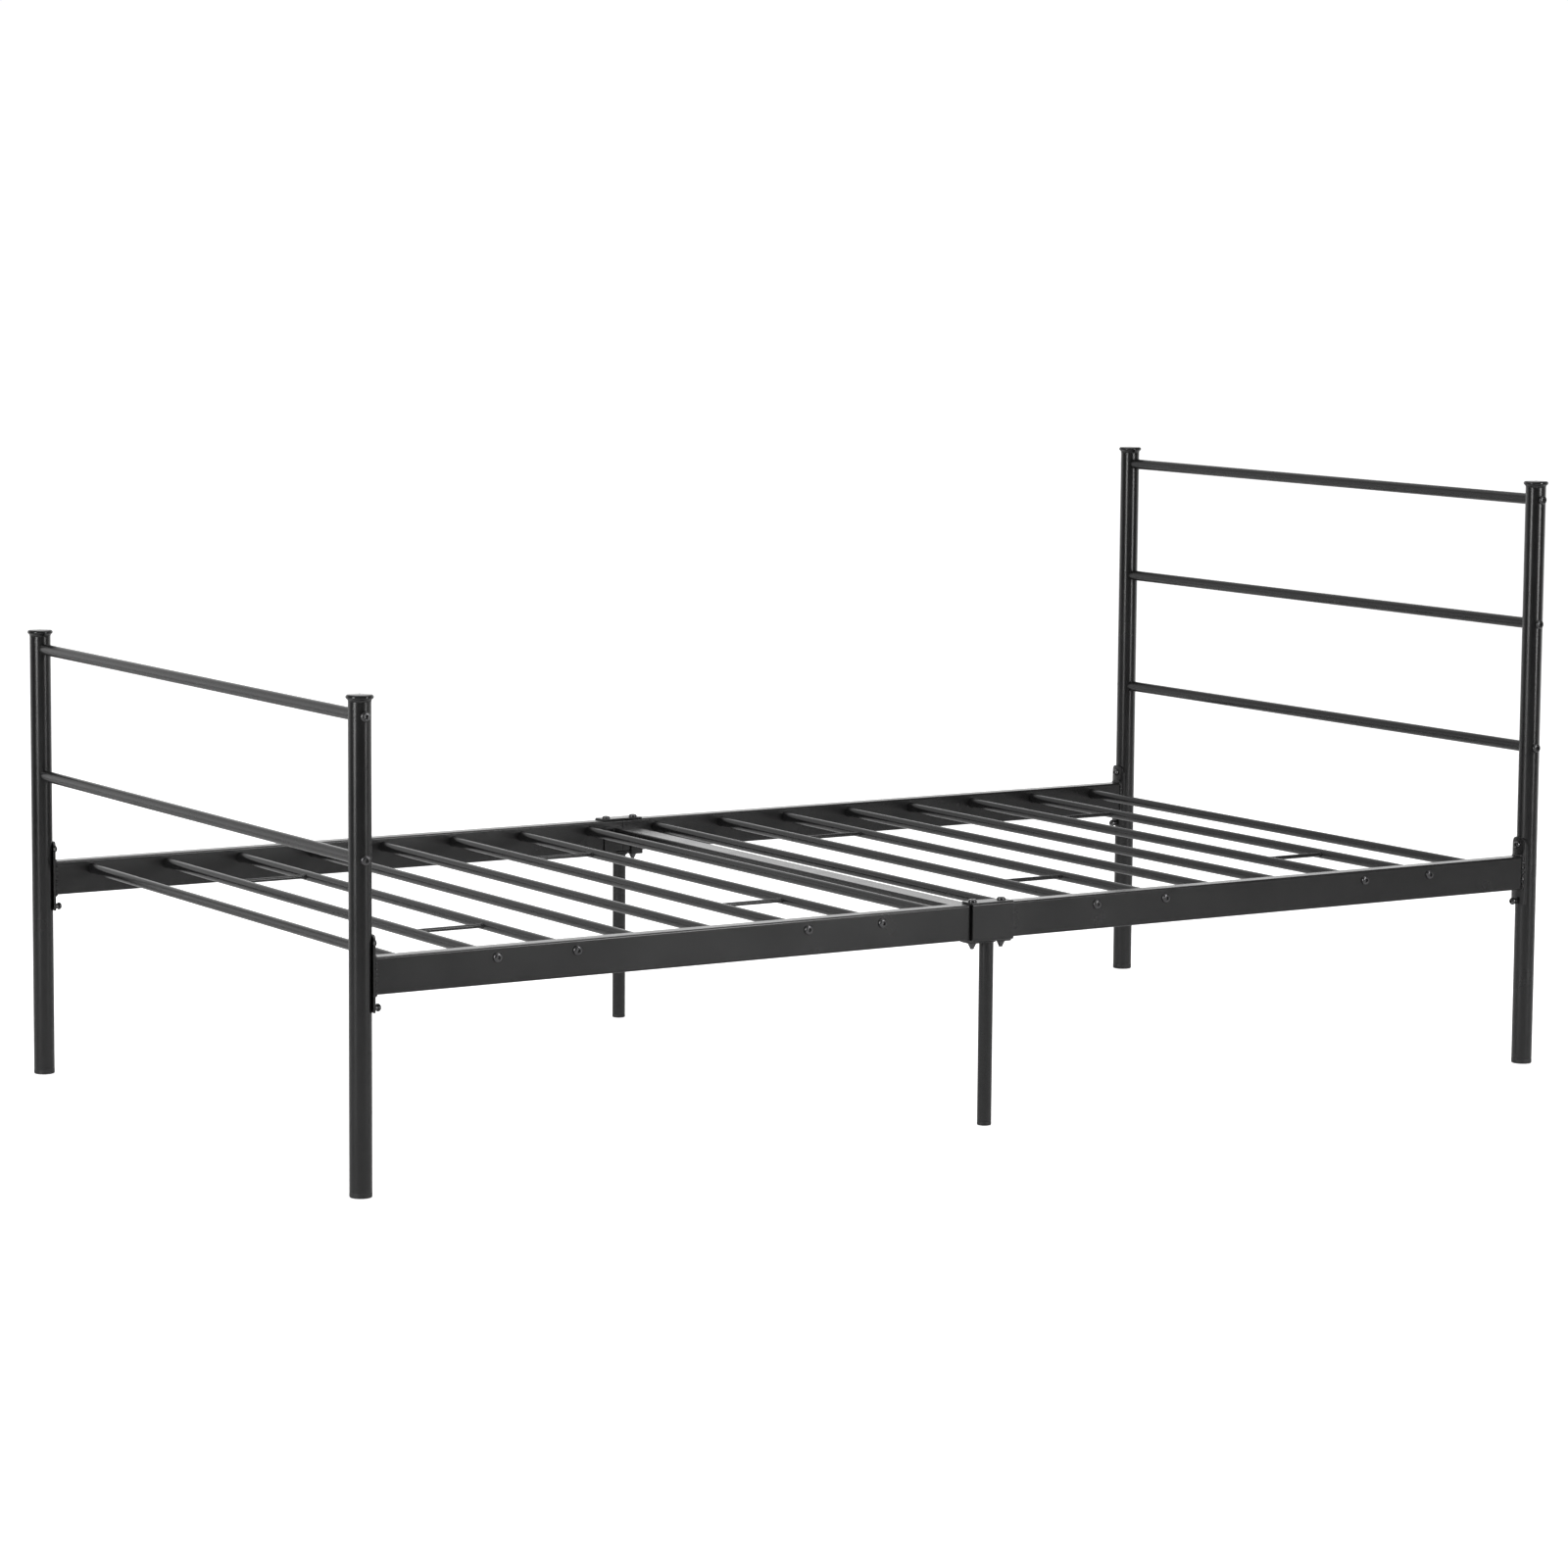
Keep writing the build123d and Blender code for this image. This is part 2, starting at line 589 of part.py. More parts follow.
# Hangers welded to the beam's ends: a plate against the rails, with two feet turned out
# under the bracket, one on either side of the leg
hanger_gap_width = 2 * (leg_radius + leg_weld + leg_clearance)
hanger_foot_width = (bracket_length - hanger_gap_width) / 2
hanger_foot_x = (bracket_length - hanger_foot_width) / 2
for side, side_sign in sides.items():
    plate = Plane(
        origin=(0, side_sign * beam_end, hanger_bottom),
        x_dir=(-side_sign, 0, 0),
        z_dir=(0, side_sign, 0),
    )
    foot_middle = side_sign * (beam_end + (hanger_foot_depth + hanger_wall) / 2)
    with BuildPart() as hanger:
        with BuildSketch(plate) as outline:
            Rectangle(bracket_length, beam_top - hanger_bottom, align=(Align.CENTER, Align.MIN))
            fillet(outline.vertices().sort_by(Axis.Y)[-2:], hanger_corner)
            Rectangle(
                hanger_gap_width,
                (beam_bottom - hanger_bottom) * hanger_notch_share,
                align=(Align.CENTER, Align.MIN),
                mode=Mode.SUBTRACT,
            )
        extrude(amount=hanger_wall)
        with BuildSketch(Plane.XY.offset(hanger_bottom)):
            with Locations((hanger_foot_x, foot_middle), (-hanger_foot_x, foot_middle)):
                Rectangle(hanger_foot_width, hanger_foot_depth + hanger_wall)
            with Locations((centre_bolt_x, side_sign * side_y), (-centre_bolt_x, side_sign * side_y)):
                Circle(centre_bolt_radius + hole_gap, mode=Mode.SUBTRACT)
        extrude(amount=hanger_wall)
    hanger.part.label = f"beam_hanger_{side}"
    export_step(hanger.part, f"parts/beam_hanger_{side}.step")

# Centre legs, welded under the brackets
for side, side_sign in sides.items():
    y = side_sign * side_y
    with BuildPart() as leg:
        with BuildSketch(Plane.XY.offset(leg_plug_height)):
            with Locations((0, y)):
                Circle(leg_radius)
        extrude(amount=bracket_bottom - leg_plug_height)
        with Locations((0, y, bracket_bottom)):
            Cone(
                leg_radius,
                leg_radius + leg_weld,
                leg_weld,
                align=(Align.CENTER, Align.CENTER, Align.MAX),
            )
            Hole(leg_bore, depth=bracket_bottom)
    leg.part.label = f"centre_leg_{side}"
    export_step(leg.part, f"parts/centre_leg_{side}.step")

leg_plug = foot_plug(leg_radius, leg_bore, leg_plug_height)
with BuildPart() as leg_foot_plugs:
    with Locations((0, side_y, 0), (0, -side_y, 0)):
        add(leg_plug)
leg_foot_plugs.part.label = "leg_foot_plugs"
export_step(leg_foot_plugs.part, "parts/leg_foot_plugs.step")

# Bolts down through the brackets, rails and hanger feet, with cone nuts under them
centre_bolt = socket_bolt(
    centre_bolt_radius,
    bracket_top - hanger_bottom + cone_nut_height + bolt_tip_length,
    centre_head_diameter / 2,
    centre_head_height,
    centre_socket_width,
)
with BuildPart() as centre_bolts:
    with Locations((0, 0, bracket_top)):
        with GridLocations(centre_bolt_spacing, post_spacing_width, 2, 2):
            add(centre_bolt)
centre_bolts.part.label = "centre_bolts"
export_step(centre_bolts.part, "parts/centre_bolts.step")

with BuildPart() as cone_nut:
    with BuildSketch(Plane.XZ):
        with BuildLine():
            Polyline(
                (centre_bolt_radius + thread_fit, 0),
                (cone_nut_diameter / 2, 0),
                (cone_nut_diameter / 2, -cone_nut_flange_height),
                (cone_nut_neck_diameter / 2, -cone_nut_neck_height),
                (cone_nut_tip_diameter / 2, -cone_nut_height),
                (centre_bolt_radius + thread_fit, -cone_nut_height),
                close=True,
            )
        make_face()
    revolve(axis=Axis.Z)
with BuildPart() as centre_nuts:
    with Locations((0, 0, hanger_bottom)):
        with GridLocations(centre_bolt_spacing, post_spacing_width, 2, 2):
            add(cone_nut.part)
centre_nuts.part.label = "centre_nuts"
export_step(centre_nuts.part, "parts/centre_nuts.step")
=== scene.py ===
import bpy
import json
import math
import random
from mathutils import Matrix, Vector


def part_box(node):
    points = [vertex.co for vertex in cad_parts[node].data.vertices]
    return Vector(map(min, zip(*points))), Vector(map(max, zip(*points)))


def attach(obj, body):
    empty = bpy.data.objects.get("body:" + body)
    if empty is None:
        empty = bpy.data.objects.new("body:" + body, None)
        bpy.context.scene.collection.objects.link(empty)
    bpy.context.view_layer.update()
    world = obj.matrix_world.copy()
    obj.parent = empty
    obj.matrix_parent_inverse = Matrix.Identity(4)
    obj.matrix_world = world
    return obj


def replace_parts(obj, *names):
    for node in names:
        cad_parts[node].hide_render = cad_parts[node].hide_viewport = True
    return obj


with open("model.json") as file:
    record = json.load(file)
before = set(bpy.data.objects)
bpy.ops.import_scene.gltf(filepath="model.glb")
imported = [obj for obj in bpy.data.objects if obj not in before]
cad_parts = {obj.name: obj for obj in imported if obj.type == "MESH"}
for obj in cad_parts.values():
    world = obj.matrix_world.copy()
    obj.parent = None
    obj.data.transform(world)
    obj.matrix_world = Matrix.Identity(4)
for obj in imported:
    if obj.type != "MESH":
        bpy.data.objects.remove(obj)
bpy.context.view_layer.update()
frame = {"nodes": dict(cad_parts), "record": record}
nodes = frame["nodes"]
print("loaded", len(nodes), "nodes")


# small helpers

def deselectAll():
    if bpy.context.mode != "OBJECT":
        bpy.ops.object.mode_set(mode="OBJECT")
    bpy.ops.object.select_all(action="DESELECT")


def addNode(tree, kind, **inputs):
    node = tree.nodes.new(kind)
    for name, value in inputs.items():
        node.inputs[name.replace("_", " ")].default_value = value
    return node


# shader groups shared by the materials

def makeGroup(name, inputs, outputs):
    group = bpy.data.node_groups.new(name, "ShaderNodeTree")
    for label, kind, value in inputs:
        socket = group.interface.new_socket(label, in_out="INPUT", socket_type=kind)
        if value is not None:
            socket.default_value = value
    for label, kind in outputs:
        group.interface.new_socket(label, in_out="OUTPUT", socket_type=kind)
    return group, group.nodes.new("NodeGroupInput"), group.nodes.new("NodeGroupOutput")


def noiseAt(tree, coords, scaleSocket=None, scale=1.0, detail=2.0, roughness=0.5):
    noise = addNode(tree, "ShaderNodeTexNoise", Scale=scale, Detail=detail, Roughness=roughness)
    tree.links.new(coords.outputs["Object"], noise.inputs["Vector"])
    if scaleSocket:
        tree.links.new(scaleSocket, noise.inputs["Scale"])
    return noise


def makeSurfaceGrain():
    # fine grain for the bump, and slow cloudy change for colour and gloss
    group, start, end = makeGroup(
        "surfaceGrain",
        [("grainScale", "NodeSocketFloat", 900.0), ("cloudScale", "NodeSocketFloat", 14.0)],
        [("height", "NodeSocketFloat"), ("cloud", "NodeSocketFloat")],
    )
    coords = group.nodes.new("ShaderNodeTexCoord")
    grain = noiseAt(group, coords, start.outputs["grainScale"], detail=3.0, roughness=0.55)
    cloud = noiseAt(group, coords, start.outputs["cloudScale"], detail=4.0, roughness=0.6)
    wave = noiseAt(group, coords, scale=190.0, detail=1.0)
    blend = addNode(group, "ShaderNodeMix", Factor=0.3)
    group.links.new(grain.outputs["Fac"], blend.inputs["A"])
    group.links.new(wave.outputs["Fac"], blend.inputs["B"])
    group.links.new(blend.outputs["Result"], end.inputs["height"])
    group.links.new(cloud.outputs["Fac"], end.inputs["cloud"])
    return group


edgeWear = {
    "samples": 6, "flatDot": 0.985, "sharpDot": 0.80,
    "chipScale": 420.0, "chipLow": 0.42, "chipHigh": 0.66,
}


def makeSoftEdge():
    # rounds sharp edges in the shading, and marks them for wear
    group, start, end = makeGroup(
        "softEdge",
        [("radius", "NodeSocketFloat", 0.0008), ("wear", "NodeSocketFloat", 1.0)],
        [("normal", "NodeSocketVector"), ("mask", "NodeSocketFloat")],
    )
    bevel = group.nodes.new("ShaderNodeBevel")
    bevel.samples = edgeWear["samples"]
    geometry = group.nodes.new("ShaderNodeNewGeometry")
    dot = group.nodes.new("ShaderNodeVectorMath")
    dot.operation = "DOT_PRODUCT"
    ramp = group.nodes.new("ShaderNodeMapRange")
    ramp.inputs["From Min"].default_value = edgeWear["flatDot"]
    ramp.inputs["From Max"].default_value = edgeWear["sharpDot"]
    coords = group.nodes.new("ShaderNodeTexCoord")
    chips = noiseAt(group, coords, scale=edgeWear["chipScale"], detail=3.0, roughness=0.7)
    chipRange = group.nodes.new("ShaderNodeMapRange")
    chipRange.inputs["From Min"].default_value = edgeWear["chipLow"]
    chipRange.inputs["From Max"].default_value = edgeWear["chipHigh"]
    product = group.nodes.new("ShaderNodeMath")
    product.operation = "MULTIPLY"
    strength = group.nodes.new("ShaderNodeMath")
    strength.operation = "MULTIPLY"
    link = group.links.new
    link(start.outputs["radius"], bevel.inputs["Radius"])
    link(bevel.outputs["Normal"], dot.inputs[0])
    link(geometry.outputs["Normal"], dot.inputs[1])
    link(dot.outputs["Value"], ramp.inputs["Value"])
    link(chips.outputs["Fac"], chipRange.inputs["Value"])
    link(ramp.outputs["Result"], product.inputs[0])
    link(chipRange.outputs["Result"], product.inputs[1])
    link(product.outputs["Value"], strength.inputs[0])
    link(start.outputs["wear"], strength.inputs[1])
    link(bevel.outputs["Normal"], end.inputs["normal"])
    link(strength.outputs["Value"], end.inputs["mask"])
    return group


surfaceGrain = makeSurfaceGrain()
softEdge = makeSoftEdge()
print("shader groups ready")


# materials, one dictionary each

cloudRange = (0.3, 0.7)
smoothLimit = 35


def makeFinish(name, look):
    material = bpy.data.materials.new(name)
    material.use_nodes = True
    tree = material.node_tree
    link = tree.links.new
    shader = tree.nodes["Principled BSDF"]
    shader.inputs["Metallic"].default_value = look["metallic"]
    shader.inputs["IOR"].default_value = look["ior"]
    grain = tree.nodes.new("ShaderNodeGroup")
    grain.node_tree = surfaceGrain
    grain.inputs["grainScale"].default_value = look["grainScale"]
    grain.inputs["cloudScale"].default_value = look["cloudScale"]
    edge = tree.nodes.new("ShaderNodeGroup")
    edge.node_tree = softEdge
    edge.inputs["radius"].default_value = look["edgeRadius"]
    edge.inputs["wear"].default_value = look["wear"]
    shade = addNode(tree, "ShaderNodeMix")
    shade.data_type = "RGBA"
    shade.inputs["A"].default_value = (*look["darkColor"], 1)
    shade.inputs["B"].default_value = (*look["lightColor"], 1)
    worn = addNode(tree, "ShaderNodeMix")
    worn.data_type = "RGBA"
    worn.inputs["B"].default_value = (*look["wornColor"], 1)
    gloss = tree.nodes.new("ShaderNodeMapRange")
    gloss.inputs["From Min"].default_value = cloudRange[0]
    gloss.inputs["From Max"].default_value = cloudRange[1]
    gloss.inputs["To Min"].default_value = look["roughness"] - look["roughnessSpread"]
    gloss.inputs["To Max"].default_value = look["roughness"] + look["roughnessSpread"]
    bump = addNode(tree, "ShaderNodeBump", Strength=look["bump"], Distance=look["bumpDepth"])
    link(grain.outputs["cloud"], shade.inputs["Factor"])
    link(shade.outputs["Result"], worn.inputs["A"])
    link(edge.outputs["mask"], worn.inputs["Factor"])
    link(worn.outputs["Result"], shader.inputs["Base Color"])
    link(grain.outputs["cloud"], gloss.inputs["Value"])
    link(gloss.outputs["Result"], shader.inputs["Roughness"])
    link(grain.outputs["height"], bump.inputs["Height"])
    link(edge.outputs["normal"], bump.inputs["Normal"])
    link(bump.outputs["Normal"], shader.inputs["Normal"])
    return material


powderCoatLook = {
    "darkColor": (0.0070, 0.0070, 0.0073), "lightColor": (0.0125, 0.0124, 0.0125),
    "wornColor": (0.085, 0.084, 0.082), "metallic": 0.0, "ior": 1.52,
    "roughness": 0.25, "roughnessSpread": 0.03, "bump": 0.28, "bumpDepth": 0.00025,
    "grainScale": 850.0, "cloudScale": 11.0, "edgeRadius": 0.0009, "wear": 0.6,
}
capPlasticLook = {
    "darkColor": (0.0085, 0.0085, 0.0090), "lightColor": (0.0150, 0.0150, 0.0155),
    "wornColor": (0.040, 0.040, 0.041), "metallic": 0.0, "ior": 1.49,
    "roughness": 0.10, "roughnessSpread": 0.03, "bump": 0.08, "bumpDepth": 0.00015,
    "grainScale": 1500.0, "cloudScale": 60.0, "edgeRadius": 0.0007, "wear": 0.5,
}
footPlasticLook = {
    "darkColor": (0.0120, 0.0120, 0.0125), "lightColor": (0.0220, 0.0220, 0.0225),
    "wornColor": (0.070, 0.069, 0.067), "metallic": 0.0, "ior": 1.49,
    "roughness": 0.5, "roughnessSpread": 0.08, "bump": 0.35, "bumpDepth": 0.0002,
    "grainScale": 1100.0, "cloudScale": 70.0, "edgeRadius": 0.0007, "wear": 0.9,
}
blackSteelLook = {
    "darkColor": (0.070, 0.070, 0.073), "lightColor": (0.130, 0.129, 0.130),
    "wornColor": (0.30, 0.295, 0.285), "metallic": 0.85, "ior": 1.6,
    "roughness": 0.22, "roughnessSpread": 0.05, "bump": 0.2, "bumpDepth": 0.0001,
    "grainScale": 1800.0, "cloudScale": 160.0, "edgeRadius": 0.0005, "wear": 0.8,
}
zincSteelLook = {
    "darkColor": (0.40, 0.41, 0.43), "lightColor": (0.60, 0.60, 0.62),
    "wornColor": (0.72, 0.72, 0.73), "metallic": 1.0, "ior": 1.5,
    "roughness": 0.36, "roughnessSpread": 0.08, "bump": 0.25, "bumpDepth": 0.0001,
    "grainScale": 1300.0, "cloudScale": 120.0, "edgeRadius": 0.0005, "wear": 0.5,
}
finishes = {
    "powder_coat": makeFinish("powderCoat", powderCoatLook),
    "cap_plastic": makeFinish("capPlastic", capPlasticLook),
    "foot_plastic": makeFinish("footPlastic", footPlasticLook),
    "black_fasteners": makeFinish("blackSteel", blackSteelLook),
    "zinc_steel": makeFinish("zincSteel", zincSteelLook),
}
slotOf = {part["node"]: part["material_slot"] for part in frame["record"]["subparts"]}
for nodeName, obj in nodes.items():
    finish = finishes[slotOf[nodeName]]
    if not obj.material_slots:
        obj.data.materials.append(finish)
    for materialSlot in obj.material_slots:
        materialSlot.material = finish
print("materials assigned")


# new pieces

def namedActive(name):
    obj = bpy.context.active_object
    obj.name = name
    return obj


def settlePiece(obj, slotName, smoothAngle=smoothLimit):
    # place goes into the mesh, then the piece rides on the frame
    deselectAll()
    obj.select_set(True)
    bpy.context.view_layer.objects.active = obj
    bpy.ops.object.transform_apply(location=True, rotation=True, scale=True)
    bpy.ops.object.shade_smooth_by_angle(angle=math.radians(smoothAngle))
    obj.data.materials.clear()
    obj.data.materials.append(finishes[slotName])
    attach(obj, "root")
    return obj


def copyPiece(source, name, shift, turn=0.0):
    twin = source.copy()
    twin.data = source.data.copy()
    twin.name = name
    bpy.context.scene.collection.objects.link(twin)
    twin.matrix_world = Matrix.Translation(shift) @ Matrix.Rotation(turn, 4, "Z")
    return twin


def joinPieces(parts, name):
    deselectAll()
    for part in parts:
        part.select_set(True)
    bpy.context.view_layer.objects.active = parts[0]
    if len(parts) > 1:
        bpy.ops.object.join()
    return namedActive(name)


postCap = {
    "sides": 72, "spigotRadius": 0.0134, "spigotLength": 0.0110, "postRadius": 0.0150,
    "taperHeight": 0.0032, "rimHeight": 0.0058, "rimBulge": 0.0021, "crown": 0.0009,
    "rimPower": 0.75, "taperSteps": 5, "rimSteps": 14, "domeSteps": 5,
    "gateRadius": 0.0016, "gateDepth": 0.00045, "gateLip": 0.00005, "gateTaper": 0.9,
}


def capRings(shape, rimRadius):
    # radius and height of each ring, from the post's edge up to the middle of the top
    edge = rimRadius - shape["rimBulge"]
    rings = [(shape["postRadius"], 0.0)]
    for step in range(1, shape["taperSteps"] + 1):
        part = step / shape["taperSteps"]
        radius = shape["postRadius"] + (edge - shape["postRadius"]) * part ** 2
        rings.append((radius, shape["taperHeight"] * part))
    for step in range(1, shape["rimSteps"] + 1):
        part = step / shape["rimSteps"]
        bulge = shape["rimBulge"] * math.sin(math.pi * part) ** shape["rimPower"]
        rings.append((edge + bulge, shape["taperHeight"] + shape["rimHeight"] * part))
    for step in range(1, shape["domeSteps"] + 1):
        radius = edge * (1 - step / (shape["domeSteps"] + 1)) + shape["gateRadius"] * 0.5
        rise = shape["crown"] * (1 - (radius / edge) ** 2)
        rings.append((radius, shape["taperHeight"] + shape["rimHeight"] + rise))
    top = shape["taperHeight"] + shape["rimHeight"] + shape["crown"]
    rings.append((shape["gateRadius"], top - shape["gateLip"]))
    rings.append((shape["gateRadius"] * shape["gateTaper"], top - shape["gateDepth"]))
    return rings


def makeCap(name):
    low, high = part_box("post_cap_foot_right")
    rimRadius = (high.x - low.x) / 2
    deselectAll()
    bpy.ops.mesh.primitive_cylinder_add(
        vertices=postCap["sides"], radius=postCap["spigotRadius"], depth=postCap["spigotLength"],
        location=(0, 0, -postCap["spigotLength"] / 2),
    )
    cap = namedActive(name)
    bpy.ops.object.transform_apply(location=True, rotation=True, scale=True)
    bpy.ops.object.mode_set(mode="EDIT")
    bpy.ops.mesh.select_all(action="DESELECT")
    bpy.ops.object.mode_set(mode="OBJECT")
    for face in cap.data.polygons:
        face.select = face.normal.z > 0.9
    bpy.ops.object.mode_set(mode="EDIT")
    bpy.ops.mesh.select_mode(type="FACE")
    radius, height = postCap["spigotRadius"], 0.0
    for ringRadius, ringHeight in capRings(postCap, rimRadius):
        rise = (0, 0, ringHeight - height)
        bpy.ops.mesh.extrude_region_move(TRANSFORM_OT_translate={"value": rise})
        grow = ringRadius / radius
        bpy.ops.transform.resize(value=(grow, grow, 1), center_override=(0, 0, ringHeight))
        radius, height = ringRadius, ringHeight
    bpy.ops.object.mode_set(mode="OBJECT")
    return cap


firstCap = makeCap("capPattern")
capHeight = postCap["taperHeight"] + postCap["rimHeight"] + postCap["crown"]
for nodeName in sorted(nodes):
    if nodeName.startswith("post_cap_"):
        low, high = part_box(nodeName)
        middle = (low + high) / 2
        pieceName = "postCap" + "".join(word.capitalize() for word in nodeName.split("_")[2:])
        cap = copyPiece(firstCap, pieceName, (middle.x, middle.y, high.z - capHeight))
        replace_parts(settlePiece(cap, "cap_plastic"), nodeName)
bpy.data.objects.remove(firstCap)
print("post caps ready")


# welds: overlapping lumps along a path, melted into one bead

def roundedPath(halfWidth, halfHeight, corner, step):
    # evenly spaced places round a rectangle with round corners, as (across, up)
    straight = [2 * (halfWidth - corner), 2 * (halfHeight - corner)] * 2
    quarter = math.pi / 2 * corner
    length = sum(straight) + 4 * quarter
    count = int(length / step)
    places = []
    for number in range(count):
        along = number * length / count
        turn, x, y = 0.0, -(halfWidth - corner), -halfHeight
        for side in straight:
            if along <= side:
                x, y = x + along * math.cos(turn), y + along * math.sin(turn)
                break
            x, y = x + side * math.cos(turn), y + side * math.sin(turn)
            along -= side
            if along <= quarter:
                bend = along / corner
                x += corner * (math.sin(turn + bend) - math.sin(turn))
                y += corner * (math.cos(turn) - math.cos(turn + bend))
                break
            x += corner * (math.sin(turn + math.pi / 2) - math.sin(turn))
            y += corner * (math.cos(turn) - math.cos(turn + math.pi / 2))
            along -= quarter
            turn += math.pi / 2
        places.append((x, y))
    return places


lumpShape = {
    "segments": 10, "rings": 7, "smallest": 0.86, "largest": 1.12,
    "stray": 0.12, "voxel": 0.24, "smoothing": 4,
}


def addLump(radius, place):
    bpy.ops.mesh.primitive_uv_sphere_add(
        segments=lumpShape["segments"], ring_count=lumpShape["rings"], radius=radius, location=place,
    )


def layWeld(name, places, look, dice):
    deselectAll()
    addLump(look["lump"], places[0])
    bead = namedActive(name)
    bpy.ops.object.transform_apply(location=True, rotation=True, scale=True)
    bpy.ops.object.mode_set(mode="EDIT")
    for x, y, z in places[1:]:
        size = look["lump"] * dice.uniform(lumpShape["smallest"], lumpShape["largest"])
        stray = look["lump"] * lumpShape["stray"]
        addLump(size, [value + dice.uniform(-stray, stray) for value in (x, y, z)])
    bpy.ops.object.mode_set(mode="OBJECT")
    melt = bead.modifiers.new("melt", "REMESH")
    melt.mode = "VOXEL"
    melt.voxel_size = look["lump"] * lumpShape["voxel"]
    bpy.ops.object.modifier_apply(modifier="melt")
    smooth = bead.modifiers.new("smooth", "SMOOTH")
    smooth.iterations = lumpShape["smoothing"]
    bpy.ops.object.modifier_apply(modifier="smooth")
    return bead


railWeld = {
    "lump": 0.0023, "step": 0.0025, "lift": 0.0006, "sink": 0.0004,
    "plateRadius": 0.0325, "plateReach": 0.0145, "corner": 0.0025,
}
legWeld = {"lump": 0.0019, "step": 0.0026, "legRadius": 0.0100, "lift": 0.0011, "drop": 0.0014}
beamWeld = {
    "lump": 0.0019, "step": 0.0025, "lift": 0.0004, "out": 0.0006, "corner": 0.0020, "topShare": 0.9,
}
rodWeld = {
    "lump": 0.0011, "rodRadius": 0.0030, "collar": 0.0010, "count": 9, "lift": 0.0006, "sink": 0.0002,
}
weldAngle = 60
dice = random.Random(11)

postLow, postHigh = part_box("post_foot_right")
railLow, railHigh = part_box("side_rail_right_foot")
postCenter = (postLow + postHigh) / 2
railHalfDepth = (railHigh.y - railLow.y) / 2
railHalfHeight = (railHigh.z - railLow.z) / 2
railMiddle = (railHigh.z + railLow.z) / 2
bendCenter = postCenter.x - railWeld["plateReach"]
places = []
weldPath = roundedPath(
    railHalfDepth + railWeld["lift"], railHalfHeight + railWeld["lift"],
    railWeld["corner"], railWeld["step"],
)
for across, up in weldPath:
    reach = math.sqrt(railWeld["plateRadius"] ** 2 - across ** 2)
    places.append((bendCenter + reach - postCenter.x + railWeld["sink"], across, up))
beadPattern = layWeld("railWeldPattern", places, railWeld, dice)
beads = []
for end, turn in ((-1, 0.0), (1, math.pi)):
    for side in (-1, 1):
        place = (end * abs(postCenter.x), side * abs(postCenter.y), railMiddle)
        beads.append(copyPiece(beadPattern, "railWeld", place, turn))
bpy.data.objects.remove(beadPattern)
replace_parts(settlePiece(joinPieces(beads, "railEndWelds"), "powder_coat", weldAngle), "rail_end_welds")

legLow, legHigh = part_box("centre_leg_right")
legCount = int(2 * math.pi * legWeld["legRadius"] / legWeld["step"])
places = []
for number in range(legCount):
    angle = 2 * math.pi * number / legCount
    reach = legWeld["legRadius"] + legWeld["lift"]
    places.append((reach * math.cos(angle), reach * math.sin(angle), -legWeld["drop"]))
ringPattern = layWeld("legWeldPattern", places, legWeld, dice)
rings = []
for side in (-1, 1):
    place = (0, side * abs(legLow.y + legHigh.y) / 2, legHigh.z)
    rings.append(copyPiece(ringPattern, "legWeld", place, math.pi / 2 * (1 + side)))
bpy.data.objects.remove(ringPattern)
settlePiece(joinPieces(rings, "legTopWelds"), "powder_coat", weldAngle)

beamLow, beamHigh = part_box("centre_beam")
hangerLow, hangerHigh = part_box("beam_hanger_right")
beamHalfWidth = (beamHigh.x - beamLow.x) / 2
beamHalfHeight = (beamHigh.z - beamLow.z) / 2
places = []
weldPath = roundedPath(
    beamHalfWidth + beamWeld["lift"], beamHalfHeight + beamWeld["lift"],
    beamWeld["corner"], beamWeld["step"],
)
for across, up in weldPath:
    if up < beamHalfHeight * beamWeld["topShare"]:  # the top is left flush for the mattress
        places.append((across, beamWeld["out"], up))
beamPattern = layWeld("beamWeldPattern", places, beamWeld, dice)
seams = []
for side, turn in ((-1, 0.0), (1, math.pi)):
    place = (0, side * abs(hangerHigh.y), (beamLow.z + beamHigh.z) / 2)
    seams.append(copyPiece(beamPattern, "beamWeld", place, turn))
bpy.data.objects.remove(beamPattern)
settlePiece(joinPieces(seams, "beamEndWelds"), "powder_coat", weldAngle)

places = []
for number in range(rodWeld["count"]):
    angle = 2 * math.pi * number / rodWeld["count"]
    reach = rodWeld["rodRadius"] + rodWeld["lift"]
    places.append((0.0, reach * math.cos(angle), reach * math.sin(angle)))
dotPattern = layWeld("rodWeldPattern", places, rodWeld, dice)
dots = []
for nodeName in sorted(nodes):
    if nodeName.startswith("tie_rods_"):
        first, second = nodeName.split("_")[2:]
        firstLow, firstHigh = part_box("slat_" + first)
        slatHeight = (firstLow.z + firstHigh.z) / 2
        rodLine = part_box(nodeName)[1].y - rodWeld["rodRadius"] - rodWeld["collar"]
        startX = firstHigh.x - rodWeld["sink"]
        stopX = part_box("slat_" + second)[0].x + rodWeld["sink"]
        for side in (-1, 1):
            dots.append(copyPiece(dotPattern, "rodWeld", (startX, side * rodLine, slatHeight)))
            dots.append(copyPiece(dotPattern, "rodWeld", (stopX, side * rodLine, slatHeight), math.pi))
bpy.data.objects.remove(dotPattern)
settlePiece(joinPieces(dots, "tieRodWelds"), "powder_coat", weldAngle)
print("welds ready")


# camera

